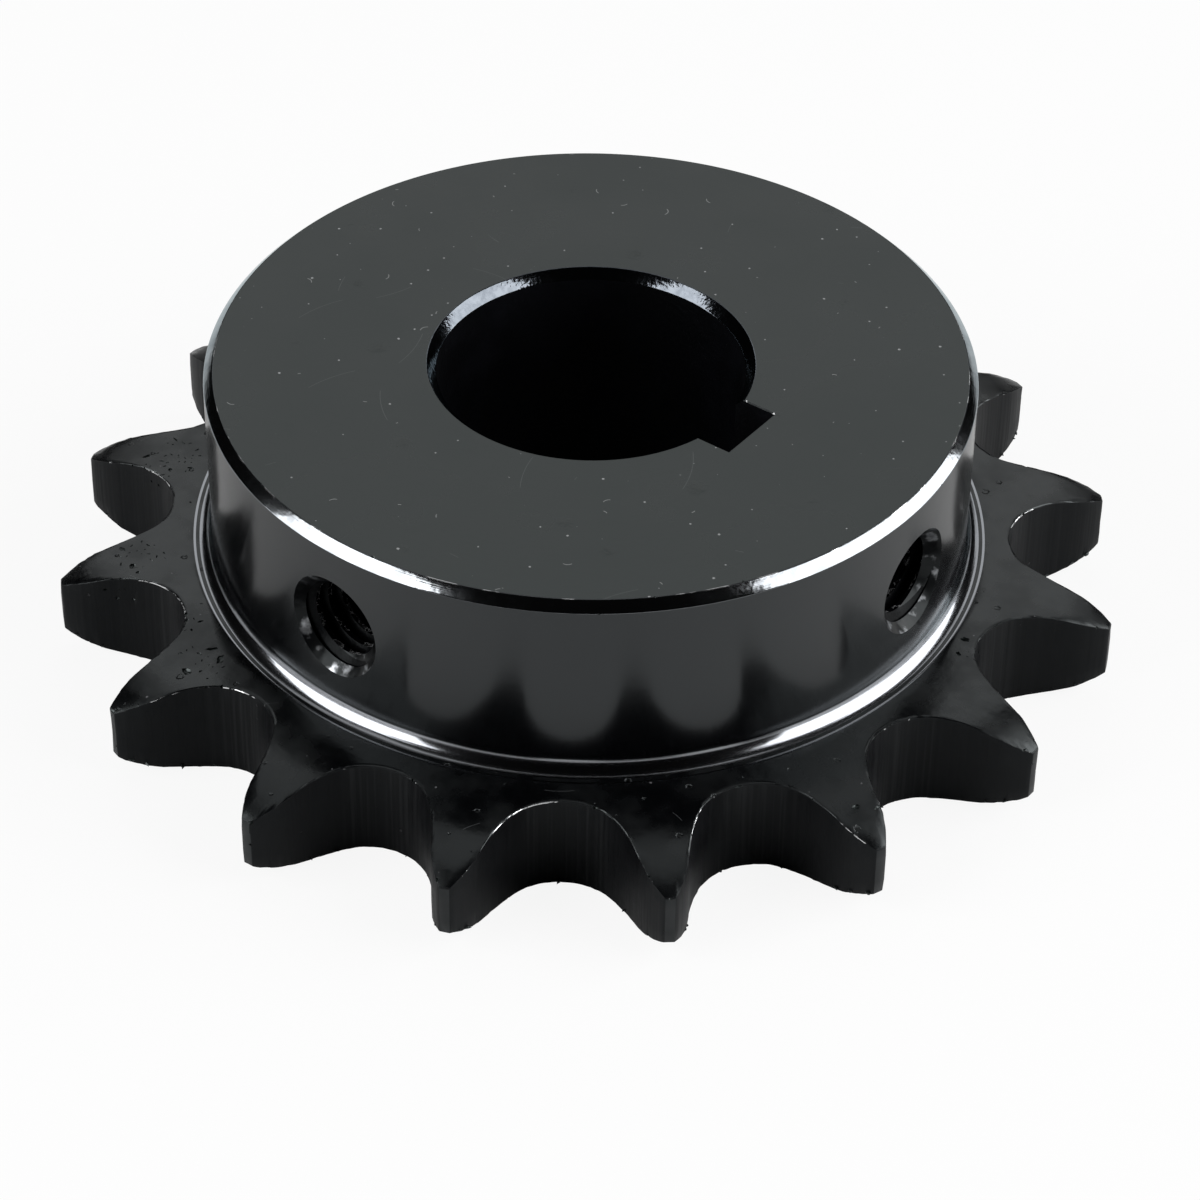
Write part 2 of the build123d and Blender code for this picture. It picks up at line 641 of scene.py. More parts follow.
@dataclass
class ScrewHole:
    """Tapped set screw hole through the hub, with its countersink."""

    degrees: float
    height: float
    major_diameter: float = 7.94 * MM
    thread_pitch: float = 1.411 * MM
    thread_slope: float = 30.0
    crest_share: float = 0.125
    lead_in: int = 2
    countersink_diameter: float = 9.3 * MM
    cone_tip: float = 0.5 * MM
    inner_end: float = 9.5 * MM
    overrun: float = 1.5 * MM
    around: int = 64

    @property
    def minor_radius(self) -> float:
        """Radius of the tapping drill."""
        return (self.major_diameter - self.thread_pitch) / 2

    def placed(self, cutter: bpy.types.Object) -> bpy.types.Object:
        """Turns and lifts a cutter that was made along +X to the hole's own place.

        Args:
            cutter: The cutter.

        Returns:
            The same cutter.
        """
        make_active(cutter)
        cutter.rotation_euler.z = math.radians(self.degrees)
        cutter.location.z = self.height
        bpy.ops.object.transform_apply(location=True, rotation=True, scale=False)
        return cutter

    def thread_cutter(self, outer_end: float) -> bpy.types.Object:
        """Makes the tap: a core with a thread round it, cut off square at both ends.

        Args:
            outer_end: How far out along +X it reaches.

        Returns:
            The closed cutter, in place.
        """
        major = self.major_diameter / 2
        rise = (major - self.minor_radius) * math.tan(math.radians(self.thread_slope))
        crest = self.thread_pitch * self.crest_share
        flat = self.thread_pitch - crest - 2 * rise
        start = self.inner_end - self.lead_in * self.thread_pitch
        pen = Pen("thread_cutter", Vector((start, 0, self.minor_radius)), TOWARDS_FRONT)
        pen.line(pen.at + Vector((flat, 0, 0)))
        pen.line(pen.at + Vector((rise, 0, major - self.minor_radius)))
        pen.line(pen.at + Vector((crest, 0, 0)))
        pen.line(pen.at + Vector((rise, 0, self.minor_radius - major)))
        tap = pen.close()
        turns = math.ceil((outer_end - start) / self.thread_pitch) + 1
        apply_modifier(
            tap, "SCREW", axis="X", angle=2 * math.pi, screw_offset=self.thread_pitch,
            iterations=turns, steps=self.around, render_steps=self.around, use_merge_vertices=False,
        )
        tidy_shell(tap)
        for place, direction in ((self.inner_end, -1), (outer_end, 1)):
            pick(tap, Element.FACE, lambda face: True)
            bpy.ops.mesh.bisect(
                plane_co=(place, 0, 0), plane_no=(direction, 0, 0), use_fill=True,
                clear_outer=True, threshold=WELD / 10,
            )
        tidy_shell(tap)
        return self.placed(tap)

    def countersink_cutter(self, hub_radius: float) -> bpy.types.Object:
        """Makes the right-angled cone that opens the hole's mouth.

        Args:
            hub_radius: Where the cone is as wide as the countersink.

        Returns:
            The closed cutter, in place.
        """
        tip = self.cone_tip
        depth = self.countersink_diameter / 2 + self.overrun - tip
        deselect_all()
        bpy.ops.mesh.primitive_cone_add(
            vertices=2 * self.around, radius1=tip, radius2=tip + depth, depth=depth,
            location=(hub_radius + self.overrun - depth / 2, 0, 0), rotation=(0, math.pi / 2, 0),
        )
        cone = bpy.context.object
        cone.name = "countersink_cutter"
        bpy.ops.object.transform_apply(location=True, rotation=True, scale=False)
        return self.placed(cone)

    def zone_of(self, centre: Vector, normal: Vector, hub_radius: float) -> Zone | None:
        """Says which finish a face has if it lies in the hole.

        Args:
            centre: Middle of the face.
            normal: Its direction.
            hub_radius: Where the cone is as wide as the countersink.

        Returns:
            The zone, or nothing if the face isn't in the hole.
        """
        outwards = polar(1, self.degrees)
        along = centre.dot(outwards)
        away = (centre - outwards * along - UP * self.height).length
        mouth = self.countersink_diameter / 2
        if along < 0 or away > mouth or normal.dot(outwards) > SQUARELY:
            return None
        if abs(away - mouth - along + hub_radius) < SLACK:
            return Zone.COUNTERSINK
        if away < self.minor_radius + SLACK:
            return Zone.THREAD_CREST
        return Zone.THREAD if away < self.major_diameter / 2 + SLACK else None


@dataclass(frozen=True)
class DentPatch:
    """Dents that lie close together round one point of the toothed plate."""

    radius: float
    degrees: float
    spread: float
    count: int
    height: float = 8.6 * MM
    size: float = 0.55 * MM


@dataclass
class Battering:
    """Dents in the plate, chips along the teeth and round the hub's rims, and burrs below."""

    patches: tuple[DentPatch, ...] = (
        DentPatch(39.8 * MM, 229.4, 1.7 * MM, 90, height=7.0 * MM, size=0.3 * MM),
        DentPatch(37.0 * MM, 204, 2.8 * MM, 70),
        DentPatch(37.8 * MM, 225, 2.1 * MM, 50),
        DentPatch(36.8 * MM, 248, 2.1 * MM, 60),
        DentPatch(35.9 * MM, 240, 1.3 * MM, 25),
        DentPatch(35.6 * MM, 9, 1.6 * MM, 40),
        DentPatch(41.5 * MM, 338, 1.5 * MM, 6),
    )
    smallest_dent: float = 0.3
    dent_range: float = 1.1
    rim_nicks: tuple[float, ...] = (-110, -86, -52, -44, -31, 8, 70, 150)
    nick_range: tuple[float, float] = (0.6, 1.1)
    chip_size: float = 0.32 * MM
    chip_range: tuple[float, float] = (0.4, 1.4)
    chips: int = 130
    burr_size: float = 0.42 * MM
    burr_range: tuple[float, float] = (0.4, 1.0)
    burrs: int = 170
    burr_lift: float = 0.17 * MM
    burrs_below: float = 2.2 * MM
    burrs_inside: float = 1.2
    fine_size: float = 0.38 * MM
    unevenness: float = 0.17 * MM
    length_range: tuple[float, float] = (0.9, 2.3)
    width_range: tuple[float, float] = (0.5, 1.0)
    thickness: float = 0.7
    clearance: float = 1.1
    shapes: int = 5
    seed: int = 11

    def lump(self, number: int, zone: Zone, subdivisions: int) -> bpy.types.Object:
        """Makes an uneven lump, one millimetre across.

        Args:
            number: Number of its shape.
            zone: Finish that it leaves behind.
            subdivisions: How finely it is meshed.

        Returns:
            The lump.
        """
        deselect_all()
        bpy.ops.mesh.primitive_ico_sphere_add(subdivisions=subdivisions, radius=MM / 2)
        lump = bpy.context.object
        lump.name = "lump"
        bpy.ops.object.mode_set(mode="EDIT")
        bpy.ops.mesh.select_all(action="SELECT")
        bpy.ops.transform.vertex_random(offset=self.unevenness, uniform=0, normal=1, seed=number)
        bpy.ops.object.mode_set(mode="OBJECT")
        for face in lump.data.polygons:
            face.material_index = zone.value
        return lump

    def strew(
        self, places: list[tuple[Vector, float]], zone: Zone, chance: random.Random
    ) -> bpy.types.Object:
        """Puts lumps at these places, each turned its own way and clear of the others.

        Args:
            places: Middle and size of each lump.
            zone: Finish that they leave behind.
            chance: Source of chance.

        Returns:
            One object of many closed lumps.
        """
        coarse = [self.lump(number, zone, 1) for number in range(self.shapes)]
        fine = [self.lump(number, zone, 2) for number in range(self.shapes)]
        struck: list[tuple[Vector, float]] = []
        copies = []
        for place, size in places:
            too_near = (
                (place - other).length < self.clearance * (size + reach) for other, reach in struck
            )
            if any(too_near):
                continue
            struck.append((place, size))
            shape = chance.choice(fine if size > self.fine_size else coarse)
            copy = new_object(shape.name, shape.data.copy())
            turn = Matrix.Rotation(chance.uniform(0, 2 * math.pi), 4, UP)
            length = chance.uniform(*self.length_range)
            width = chance.uniform(*self.width_range)
            stretch = Vector((length, width, self.thickness)) * size / MM
            copy.matrix_world = Matrix.Translation(place) @ turn @ Matrix.Diagonal((*stretch, 1))
            copies.append(copy)
        for shape in coarse + fine:
            bpy.data.objects.remove(shape)
        strewn = join(*copies)
        bpy.ops.object.transform_apply(location=True, rotation=True, scale=True)
        log.info("%d lumps of %s", len(struck), zone.name.lower())
        return strewn

    def dents(self, surface: list[Vector], edges: list[Vector], hub: Hub) -> bpy.types.Object:
        """Places all dents and chips.

        Args:
            surface: Points and middles of faces on the toothed plate.
            edges: Points on the broken edges of the teeth.
            hub: The turned part of the piece.

        Returns:
            The cutter for them.
        """
        chance = random.Random(self.seed)
        places = []
        for patch in self.patches:
            middle = polar(patch.radius, patch.degrees, patch.height)
            near = [point for point in surface if (point - middle).length < patch.spread]
            for point in chance.sample(near, min(patch.count, len(near))):
                share = self.smallest_dent + self.dent_range * chance.random() ** 2
                places.append((point, patch.size * share))
        for angle in self.rim_nicks:
            radius = hub.diameter / 2 - chance.choice((0, hub.chamfer))
            height = hub.length - (hub.chamfer if radius > hub.diameter / 2 - SLACK else 0)
            size = self.chip_size * chance.uniform(*self.nick_range)
            places.append((polar(radius, angle, height), size))
        for point in chance.sample(edges, self.chips):
            places.append((point, self.chip_size * chance.uniform(*self.chip_range)))
        return self.strew(places, Zone.CHIP, chance)

    def ragged_burrs(self, edges: list[Vector], tip_radius: float) -> bpy.types.Object:
        """Places the burrs, on the flanks just above their lower edges.

        Args:
            edges: Points on the broken edges of the teeth.
            tip_radius: Radius that no burr reaches past.

        Returns:
            The burrs.
        """
        chance = random.Random(self.seed)
        room = tip_radius - self.burrs_inside * self.burr_size
        low = [point for point in edges if point.z < self.burrs_below and point.xy.length < room]
        places = []
        for point in chance.sample(low, min(self.burrs, len(low))):
            size = self.burr_size * chance.uniform(*self.burr_range)
            places.append((point + UP * self.burr_lift, size))
        return self.strew(places, Zone.TOOTH_EDGE, chance)


@dataclass
class Sprocket:
    """The whole piece of steel."""

    plate: ToothedPlate = field(default_factory=ToothedPlate)
    hub: Hub = field(default_factory=Hub)
    keyway: Keyway = field(default_factory=Keyway)
    hole_angles: tuple[float, float] = (2.0, -92.8)
    battering: Battering = field(default_factory=Battering)
    sharp_from: float = 50.0
    smooth_below: float = 40.0
    teeth_from: float = 1 * MM
    dents_from: float = 0.3 * MM
    edge_band: float = 3.0
    land_depth: float = 0.3 * MM
    plate_from: float = 0.6
    level_from: float = 0.98
    rim_from: float = 0.75
    upright_below: float = 0.2

    @property
    def holes(self) -> list[ScrewHole]:
        """The two set screw holes, in the middle of the hub's free length."""
        height = (self.plate.width + self.hub.length) / 2
        return [ScrewHole(angle, height) for angle in self.hole_angles]

    def shell(self) -> bpy.types.Object:
        """Joins the plate and the hub into one closed shell, and breaks the edges of the teeth.

        Returns:
            The blank with its teeth, still without the keyway and the holes.
        """
        plate = self.plate.build(self.hub.foot_radius)
        hub = self.hub.build(self.plate.width, self.plate.teeth * self.plate.columns)
        blank = join(plate, hub)
        tidy_shell(blank)
        self.break_tooth_edges(blank)
        return blank

    def break_tooth_edges(self, piece: bpy.types.Object) -> None:
        """Rounds the sharp edges of the teeth a little and wears them unevenly.

        Args:
            piece: The shell.
        """
        sharp = sharp_edges(piece.data, self.sharp_from)
        points = piece.data.vertices
        inner = self.hub.foot_radius + self.teeth_from

        def on_tooth(edge: bpy.types.MeshEdge) -> bool:
            """Whether a sharp edge lies outside the hub's foot."""
            return edge.index in sharp and points[edge.vertices[0]].co.xy.length > inner

        pick(piece, Element.EDGE, on_tooth)
        bpy.ops.mesh.bevel(
            offset_type="OFFSET", offset=self.plate.edge_break, segments=self.plate.edge_steps,
            profile=0.5, affect="EDGES", clamp_overlap=True,
        )
        bpy.ops.object.vertex_group_add()
        piece.vertex_groups.active.name = TOOTH_EDGES
        bpy.ops.object.vertex_group_assign()
        bpy.ops.object.mode_set(mode="OBJECT")
        wear = bpy.data.textures.new("edge_wear", "CLOUDS")
        wear.noise_scale = self.plate.wear_size
        apply_modifier(
            piece, "DISPLACE", texture=wear, texture_coords="LOCAL", direction="NORMAL",
            vertex_group=TOOTH_EDGES, mid_level=0.0, strength=-self.plate.wear_depth,
        )

    def build(self, finishes: list[bpy.types.Material]) -> bpy.types.Object:
        """Makes the piece.

        Args:
            finishes: Material of each zone, in order.

        Returns:
            The finished mesh.
        """
        piece = self.shell()
        piece.name = "blackened_sprocket"
        for finish in finishes:
            piece.data.materials.append(finish)
        log.info("shell of the %s: %d faces", piece.name, len(piece.data.polygons))
        radius = self.hub.diameter / 2
        cutters = [self.keyway.cutter(self.hub.length)]
        for hole in self.holes:
            cutters += [hole.thread_cutter(radius + hole.overrun), hole.countersink_cutter(radius)]
            log.info("set screw hole at %.1f degrees", hole.degrees)
        cut(piece, *cutters)
        tidy_shell(piece)
        edges = self.mark_zones(piece)
        inner = self.hub.foot_radius + self.dents_from
        places = [point.co for point in piece.data.vertices]
        places += [face.center for face in piece.data.polygons]
        surface = [place.copy() for place in places if place.xy.length > inner]
        dents = self.battering.dents(surface, edges, self.hub)
        burrs = self.battering.ragged_burrs(edges, self.plate.tip_radius)
        for finish in finishes:
            dents.data.materials.append(finish)
            burrs.data.materials.append(finish)
        add(piece, burrs)
        cut(piece, dents)
        make_active(piece)
        bpy.ops.object.shade_smooth_by_angle(angle=math.radians(self.smooth_below))
        apply_modifier(piece, "WEIGHTED_NORMAL", mode="FACE_AREA", weight=100, keep_sharp=True)
        return piece

    def zone_of(self, centre: Vector, normal: Vector) -> Zone:
        """Says which finish a face has that isn't on a broken edge of a tooth.

        Args:
            centre: Middle of the face.
            normal: Its direction.

        Returns:
            The zone.
        """
        hub_radius = self.hub.diameter / 2
        mouth = self.hub.bore_diameter / 2 + self.hub.bore_chamfer + self.hub.edge_break
        keyway_radius = self.keyway.floor_radius + self.keyway.edge_break
        radius = centre.xy.length
        level = abs(normal.z)
        outward = normal.xy.dot(centre.xy) / radius
        for hole in self.holes:
            zone = hole.zone_of(centre, normal, hub_radius)
            if zone is not None:
                return zone
        if radius > self.hub.foot_radius:
            if level > self.plate_from:
                return Zone.PLATE_SIDE
            outermost = radius > self.plate.tip_radius - self.land_depth
            return Zone.TIP_LAND if outermost and outward > SQUARELY else Zone.FLANK
        if level > self.level_from:
            on_top = centre.z > self.plate.width + self.plate.headroom
            return Zone.HUB_FACE if on_top else Zone.PLATE_SIDE
        if radius < keyway_radius + SLACK:
            if level < self.upright_below:
                return Zone.BORE
            return Zone.BORE_CHAMFER if radius < mouth else Zone.TOOTH_EDGE
        if radius > hub_radius + SLACK:
            return Zone.FILLET
        if level > self.rim_from:
            return Zone.RIM
        return Zone.CHAMFER if level > self.upright_below else Zone.HUB_SIDE

    def mark_zones(self, piece: bpy.types.Object) -> list[Vector]:
        """Gives each face the material slot of its zone.

        Args:
            piece: The mesh with everything cut but the dents.

        Returns:
            Points on the broken edges of the teeth.
        """
        group = piece.vertex_groups[TOOTH_EDGES].index
        points = piece.data.vertices
        on_edge = {v.index for v in points if any(g.group == group for g in v.groups)}
        for face in piece.data.polygons:
            heights = [points[index].co.z for index in face.vertices]
            narrow = max(heights) - min(heights) < self.edge_band * self.plate.edge_break
            if narrow and all(index in on_edge for index in face.vertices):
                face.material_index = Zone.TOOTH_EDGE.value
            else:
                face.material_index = self.zone_of(face.center, face.normal).value
        return [points[index].co.copy() for index in sorted(on_edge)]


# Finishes

Feed = bpy.types.NodeSocket | float | tuple[float, ...]
Colour = tuple[float, float, float]


class NodeTree:
    """Nodes of one material, added step by step."""

    def __init__(self, name: str) -> None:
        """Makes the material.

        Args:
            name: Its name.
        """
        self.material = bpy.data.materials.new(name)
        self.material.use_nodes = True
        self.nodes = self.material.node_tree.nodes
        self.links = self.material.node_tree.links

    def feed(self, socket: bpy.types.NodeSocket, value: Feed) -> None:
        """Links a result to an input, or sets the input.

        Args:
            socket: The input.
            value: A result, a number or a colour.
        """
        if isinstance(value, bpy.types.NodeSocket):
            self.links.new(value, socket)
        else:
            socket.default_value = value

    def add(self, kind: str, *values: Feed, **settings: object) -> bpy.types.Node:
        """Adds a node.

        Args:
            kind: Its type, without the part that all shader nodes start with.
            values: What goes into its first inputs.
            settings: Its settings.

        Returns:
            The node.
        """
        node = self.nodes.new("ShaderNode" + kind)
        for name, value in settings.items():
            setattr(node, name, value)
        for socket, value in zip(node.inputs, values):
            self.feed(socket, value)
        return node

    def maths(self, operation: str, *values: Feed) -> bpy.types.NodeSocket:
        """Result of a calculation with numbers."""
        return self.add("Math", *values, operation=operation).outputs[0]

    def between(self, value: Feed, low: float, high: float) -> bpy.types.NodeSocket:
        """Share of the way from a low value to a high one, eased at both ends."""
        return self.add("MapRange", value, low, high, interpolation_type="SMOOTHSTEP").outputs[0]


class Recipe(NodeTree):
    """Finish in the making, as it runs over the surface."""

    def __init__(self, name: str, colour: Colour, roughness: float, metallic: float) -> None:
        """Starts from an even finish.

        Args:
            name: Name of the material.
            colour: Its colour.
            roughness: Its roughness.
            metallic: How metallic it is.
        """
        super().__init__(name)
        self.shader = self.nodes["Principled BSDF"]
        self.place = self.add("TexCoord").outputs["Object"]
        self.colour: Feed = (*colour, 1)
        self.roughness: Feed = roughness
        self.metallic: Feed = metallic
        self.height: Feed = 0.0

    def stretched(self, sizes: tuple[float, float, float]) -> bpy.types.NodeSocket:
        """Place on the piece, counted in a size of its own along each axis."""
        shares = tuple(1 / size for size in sizes)
        return self.add("VectorMath", self.place, shares, operation="MULTIPLY").outputs[0]

    def radius(self) -> bpy.types.NodeSocket:
        """Distance from the bore's axis."""
        flat = self.add("VectorMath", self.place, (1.0, 1.0, 0.0), operation="MULTIPLY").outputs[0]
        return self.add("VectorMath", flat, operation="LENGTH").outputs["Value"]

    def noise(self, place: Feed, detail: float) -> bpy.types.NodeSocket:
        """Adds smooth noise about a half, with features one unit of the place across.

        Args:
            place: Where it is read.
            detail: How much finer noise lies over the broad one.

        Returns:
            The noise.
        """
        node = self.add("TexNoise")
        self.feed(node.inputs["Vector"], place)
        node.inputs["Scale"].default_value = 1.0
        node.inputs["Detail"].default_value = detail
        return node.outputs[0]

    def scatter(self, place: Feed, cell: float, level: bool) -> bpy.types.Node:
        """Strews points over the surface, about one to a cell.

        Args:
            place: Where they are read.
            cell: Size of a cell.
            level: Whether they are strewn over a level face, and heights don't count.

        Returns:
            The node, with the nearest point's place, distance and chances.
        """
        node = self.add("TexVoronoi", voronoi_dimensions="2D" if level else "3D", feature="F1")
        self.feed(node.inputs["Vector"], place)
        node.inputs["Scale"].default_value = 1 / cell
        return node

    def paint(self, share: Feed, colour: Colour) -> None:
        """Blends a colour over what is there.

        Args:
            share: How much of it shows.
            colour: The colour.
        """
        mix = self.add("Mix", share, data_type="RGBA")
        sockets = {socket.identifier: socket for socket in mix.inputs}
        self.feed(sockets["A_Color"], self.colour)
        self.feed(sockets["B_Color"], (*colour, 1))
        self.colour = next(socket for socket in mix.outputs if socket.identifier == "Result_Color")

    def dull(self, share: Feed, amount: float) -> None:
        """Adds to the roughness, or takes away from it when the amount is negative."""
        self.roughness = self.maths("MULTIPLY_ADD", share, amount, self.roughness)

    def raise_by(self, share: Feed, depth: float) -> None:
        """Raises the surface, or sinks it when the depth is negative."""
        self.height = self.maths("MULTIPLY_ADD", share, depth / MM, self.height)

    def dress(self) -> bpy.types.Material:
        """Connects everything to the shader.

        Returns:
            The finished material.
        """
        self.feed(self.shader.inputs["Base Color"], self.colour)
        self.feed(self.shader.inputs["Roughness"], self.roughness)
        self.feed(self.shader.inputs["Metallic"], self.metallic)
        bump = self.add("Bump")
        bump.inputs["Strength"].default_value = 1.0
        bump.inputs["Distance"].default_value = MM
        self.feed(bump.inputs["Height"], self.height)
        self.links.new(bump.outputs["Normal"], self.shader.inputs["Normal"])
        return self.material


class Mark:
    """Something that shows on a surface."""

    def leave(self, recipe: Recipe) -> None:
        """Adds the mark to a finish."""
        raise NotImplementedError


@dataclass(frozen=True)
class Clouds(Mark):
    """Broad patches where the blackening bath bit unevenly: greyer and duller, or blacker."""

    size: float
    colour: Colour
    amount: float = 0.6
    dulling: float = 0.06
    starts: float = 0.35
    full: float = 0.7

    def leave(self, recipe: Recipe) -> None:
        """Adds the patches to a finish.

        Args:
            recipe: The finish.
        """
        noise = recipe.noise(recipe.stretched((self.size,) * 3), detail=4.0)
        patches = recipe.between(noise, self.starts, self.full)
        recipe.paint(recipe.maths("MULTIPLY", patches, self.amount), self.colour)
        recipe.dull(patches, self.dulling)


@dataclass(frozen=True)
class Grain(Mark):
    """Unevenness of the surface, drawn out along the bore's axis if a length is given.

    Its ridges can have a colour, partly tool marks and partly a painted highlight,
    which shows up to a radius about that axis.
    """

    size: float
    depth: float
    length: float = 0.0
    crest_tint_and_highlight: Colour | None = None
    within: float = 38.5 * MM
    fading: float = 2 * MM
    starts: float = 0.45
    full: float = 0.75

    def leave(self, recipe: Recipe) -> None:
        """Adds the grain to a finish.

        Args:
            recipe: The finish.
        """
        sizes = (self.size, self.size, self.length or self.size)
        grain = recipe.noise(recipe.stretched(sizes), detail=1.0)
        recipe.raise_by(grain, self.depth)
        # Lighter ridges: partly tool marks, partly a painted highlight.
        if self.crest_tint_and_highlight is not None:
            near = recipe.between(recipe.radius(), self.within, self.within - self.fading)
            crest = recipe.between(grain, self.starts, self.full)
            recipe.paint(recipe.maths("MULTIPLY", crest, near), self.crest_tint_and_highlight)


@dataclass(frozen=True)
class Rings(Mark):
    """Lines that the turning tool left, all about the bore's axis."""

    pitch: float
    depth: float
    patch: float = 9.0 * MM

    def leave(self, recipe: Recipe) -> None:
        """Adds the rings to a finish.

        Args:
            recipe: The finish.
        """
        height = recipe.add("SeparateXYZ", recipe.place).outputs["Z"]
        profile = recipe.add(
            "CombineXYZ",
            recipe.maths("DIVIDE", recipe.radius(), self.pitch),
            recipe.maths("DIVIDE", height, self.pitch),
            0.0,
        ).outputs[0]
        slowly = recipe.stretched((self.patch,) * 3)
        place = recipe.add("VectorMath", profile, slowly, operation="ADD").outputs[0]
        recipe.raise_by(recipe.noise(place, detail=1.0), self.depth)


@dataclass(frozen=True)
class Scratches(Mark):
    """Short fine scratches in all directions on a level face."""

    cell: float
    length: float
    width: float
    share: float
    colour: Colour
    bow: float = 0.25

    def leave(self, recipe: Recipe) -> None:
        """Adds the scratches to a finish.

        Args:
            recipe: The finish.
        """
        points = recipe.scatter(recipe.place, self.cell, level=True)
        chances = recipe.add("SeparateColor", points.outputs["Color"]).outputs
        point = points.outputs["Position"]
        away = recipe.add("VectorMath", recipe.place, point, operation="SUBTRACT")
        turn = recipe.maths("MULTIPLY", chances[0], 2 * math.pi)
        turned = recipe.add("VectorRotate", rotation_type="Z_AXIS")
        recipe.feed(turned.inputs["Vector"], away.outputs[0])
        recipe.feed(turned.inputs["Angle"], turn)
        along, across, _ = recipe.add("SeparateXYZ", turned.outputs[0]).outputs
        square = recipe.maths("MULTIPLY", along, along)
        bow = recipe.maths("MULTIPLY", square, self.bow / self.length)
        off = recipe.maths("ABSOLUTE", recipe.maths("ADD", across, bow))
        line = recipe.between(off, self.width, 0.0)
        reach = recipe.maths("MULTIPLY", chances[1], self.length / 2)
        inside = recipe.maths("LESS_THAN", recipe.maths("ABSOLUTE", along), reach)
        chosen = recipe.maths("LESS_THAN", chances[2], self.share)
        mask = recipe.maths("MULTIPLY", line, recipe.maths("MULTIPLY", inside, chosen))
        recipe.paint(mask, self.colour)


@dataclass(frozen=True)
class Specks(Mark):
    """Small spots strewn over the surface: bright specks of bare metal, or pits."""

    cell: float
    size: float
    share: float
    colour: Colour
    height: float = 0.0
    level: bool = False
    softness: float = 0.4

    def leave(self, recipe: Recipe) -> None:
        """Adds the spots to a finish.

        Args:
            recipe: The finish.
        """
        ragged = recipe.add("TexNoise", recipe.place)
        ragged.inputs["Scale"].default_value = 2 / self.size
        shift = recipe.add("VectorMath", ragged.outputs["Color"], operation="SCALE")
        shift.inputs["Scale"].default_value = self.size
        place = recipe.add("VectorMath", recipe.place, shift.outputs[0], operation="ADD").outputs[0]
        points = recipe.scatter(place, self.cell, self.level)
        chance = recipe.add("SeparateColor", points.outputs["Color"]).outputs
        reach = recipe.maths("MULTIPLY", chance[1], self.size / self.cell)
        inside = recipe.maths("SUBTRACT", reach, points.outputs["Distance"])
        spot = recipe.between(inside, 0.0, self.softness * self.size / self.cell)
        mask = recipe.maths("MULTIPLY", spot, recipe.maths("LESS_THAN", chance[0], self.share))
        recipe.paint(mask, self.colour)
        if self.height:
            recipe.raise_by(mask, self.height)


@dataclass(frozen=True)
class Rubbed(Mark):
    """Patches where the black is rubbed off down to bright steel."""

    size: float
    share: float
    colour: Colour = (0.55, 0.56, 0.57)
    softness: float = 0.06
    scarcest: float = 0.7
    spread: float = 0.35

    def leave(self, recipe: Recipe) -> None:
        """Adds the bright patches to a finish.

        Args:
            recipe: The finish.
        """
        noise = recipe.noise(recipe.stretched((self.size,) * 3), detail=5.0)
        edge = self.scarcest - self.spread * self.share
        bare = recipe.between(noise, edge, edge + self.softness)
        recipe.paint(bare, self.colour)
        recipe.metallic = recipe.maths("MAXIMUM", bare, recipe.metallic)


@dataclass(frozen=True)
class Knocks(Mark):
    """Places on the edges of the teeth that were knocked down to bright steel."""

    places: tuple[tuple[float, float], ...]
    height: float
    reach: float = 4.0 * MM
    size: float = 0.5 * MM
    colour: Colour = (0.75, 0.76, 0.77)
    starts: float = 0.3
    full: float = 0.4
    polish: float = 0.15

    def leave(self, recipe: Recipe) -> None:
        """Adds the bright places to a finish.

        Args:
            recipe: The finish.
        """
        nearest: Feed = 1.0
        for radius, degrees in self.places:
            middle = tuple(polar(radius, degrees, self.height))
            away = recipe.add("VectorMath", recipe.place, middle, operation="DISTANCE")
            nearest = recipe.maths("MINIMUM", nearest, away.outputs["Value"])
        noise = recipe.noise(recipe.stretched((self.size,) * 3), detail=2.0)
        near = recipe.between(nearest, self.reach, 0.0)
        bare = recipe.between(recipe.maths("MULTIPLY", noise, near), self.starts, self.full)
        recipe.paint(bare, self.colour)
        recipe.dull(bare, -self.polish)
        recipe.metallic = recipe.maths("MAXIMUM", bare, recipe.metallic)


@dataclass(frozen=True)
class Finish:
    """Black oxide on one zone of the piece: its even ground and the marks on it."""

    zone: Zone
    colour: Colour
    roughness: float
    marks: tuple[Mark, ...]
    specular: float = 0.5
    metallic: float = 0.0
    drawn_out: float = 0.0
    quarter_turn: float = 0.25
    sheen: Colour = (0.9, 0.98, 1.0)

    def material(self) -> bpy.types.Material:
        """Makes the material.

        Returns:
            The material.
        """
        name = "black_oxide_" + self.zone.name.lower()
        recipe = Recipe(name, self.colour, self.roughness, self.metallic)
        for mark in self.marks:
            mark.leave(recipe)
        shader = recipe.shader
        shader.inputs["Specular IOR Level"].default_value = self.specular
        shader.inputs["Specular Tint"].default_value = (*self.sheen, 1)
        if self.drawn_out > 0:
            shader.inputs["Anisotropic"].default_value = self.drawn_out
            shader.inputs["Anisotropic Rotation"].default_value = self.quarter_turn
            around = recipe.add("Tangent", direction_type="RADIAL", axis="Z")
            recipe.links.new(around.outputs[0], shader.inputs["Tangent"])
        return recipe.dress()


KNOCKED = Knocks(
    places=(
        (37.4 * MM, 208.5), (37.0 * MM, 231.0), (35.6 * MM, 236.5), (41.5 * MM, 251.5),
        (36.4 * MM, 255.0), (38.2 * MM, 297.7), (36.3 * MM, 300.0), (38.5 * MM, 319.5),
        (43.0 * MM, 336.5), (36.5 * MM, 38.5),
    ),
    height=8.6 * MM,
)

